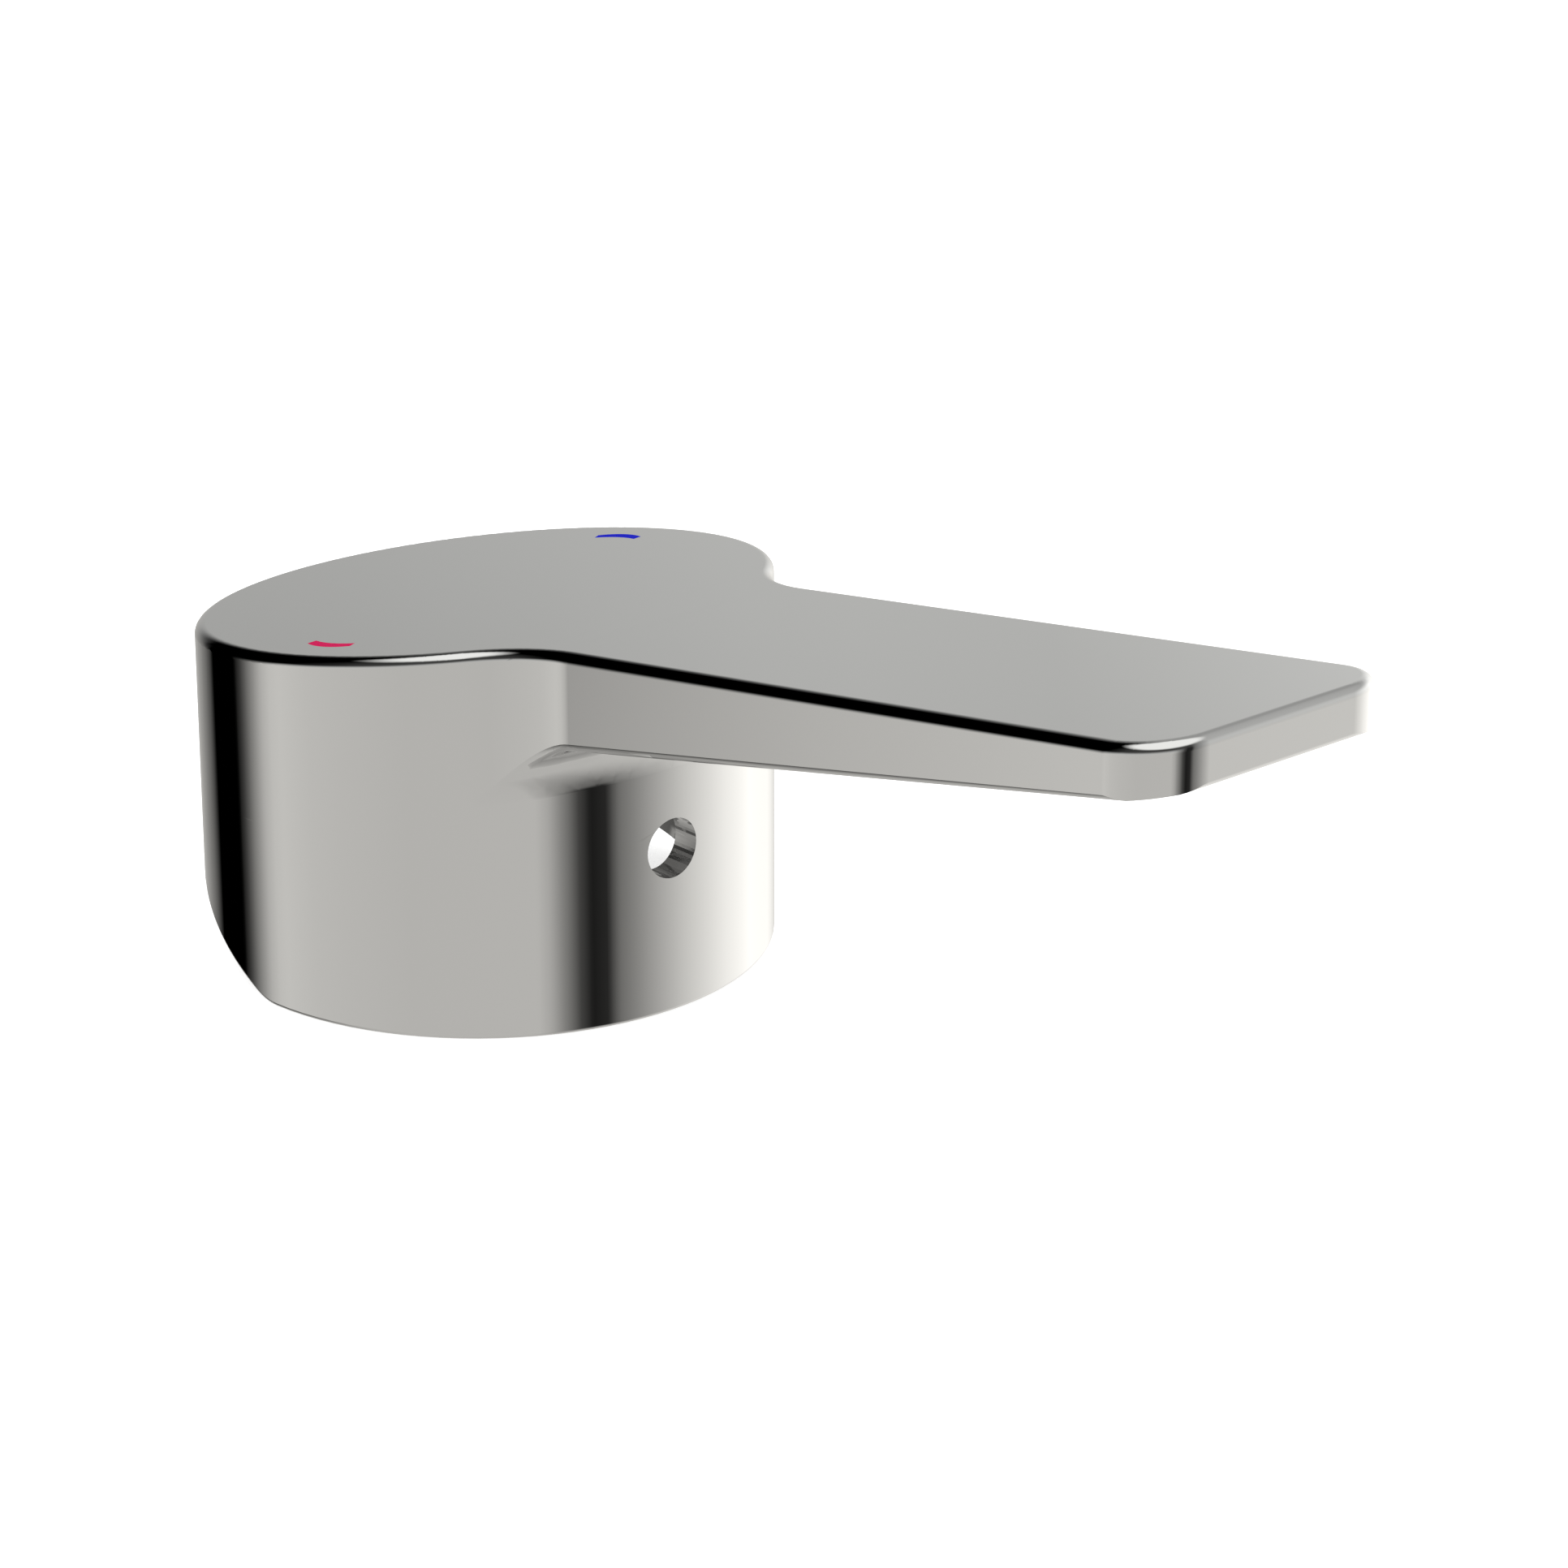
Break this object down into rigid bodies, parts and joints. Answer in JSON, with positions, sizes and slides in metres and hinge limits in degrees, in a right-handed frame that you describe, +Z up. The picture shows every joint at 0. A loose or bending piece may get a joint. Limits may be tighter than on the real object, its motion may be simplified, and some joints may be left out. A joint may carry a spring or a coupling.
{
  "type": "tap handle",
  "caption": "Replacement lever handle for a single-lever mixer tap: a round hollow cap with a flat, rising lever, a square stem socket inside and a grub screw behind a hole in its skirt.",
  "frame": {"origin": "centre of the round skirt in the plane of its front rim, on the axis of the stem socket", "axes": "+Z up along the stem's axis, +X along the lever towards its tip, +Y to the lever's left"},
  "size_m": [0.1092, 0.046, 0.0421],
  "materials": {
    "chrome_plate": "polished",
    "stainless_steel": "machined",
    "red_enamel": "gloss",
    "blue_enamel": "gloss"
  },
  "bodies": {
    "root": {"lever_body": "chrome_plate", "set_screw": "stainless_steel", "hot_mark": "red_enamel", "cold_mark": "blue_enamel"}
  },
  "joints": []
}
